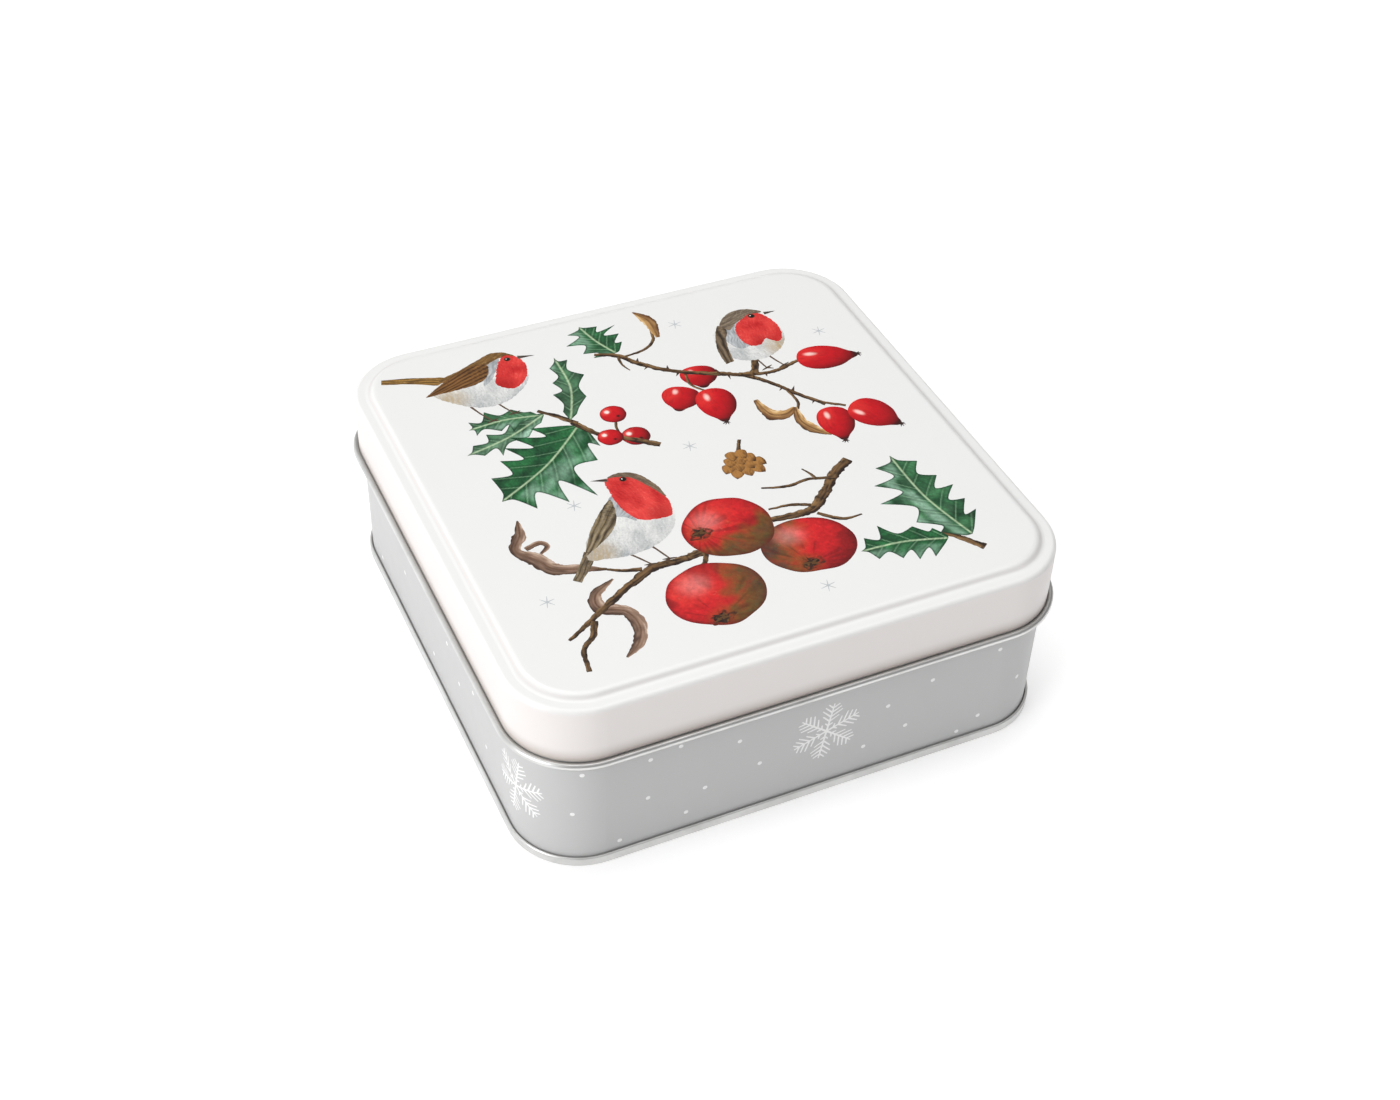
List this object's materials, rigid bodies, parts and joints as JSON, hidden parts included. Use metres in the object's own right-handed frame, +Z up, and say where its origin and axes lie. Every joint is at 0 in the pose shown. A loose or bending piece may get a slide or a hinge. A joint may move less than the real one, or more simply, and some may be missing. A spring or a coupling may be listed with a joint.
{
  "type": "cookie tin",
  "caption": "Square slip-lid cookie tin in painted tinplate, with a raised winter-print lid, a rolled curl and a double-seamed bottom.",
  "frame": {"origin": "centre of the footprint, on the plane that the tin stands on", "axes": "+Z up, the way the lid lifts off; -Y towards the front, which carries the large snowflake; +Y towards the side with the lock seam"},
  "size_m": [0.1532, 0.1532, 0.0565],
  "materials": {
    "lid_enamel": "satin",
    "body_enamel": "satin",
    "bare_tinplate": "bright"
  },
  "bodies": {
    "tin": {"body_wall": "body_enamel", "bottom_panel": "bare_tinplate"},
    "lid": {"lid_shell": "lid_enamel"}
  },
  "joints": [
    {"name": "lid_lift", "type": "slide", "parent": "tin", "child": "lid", "axis": [0, 0, 1], "range_m": [0, 0.06]}
  ]
}
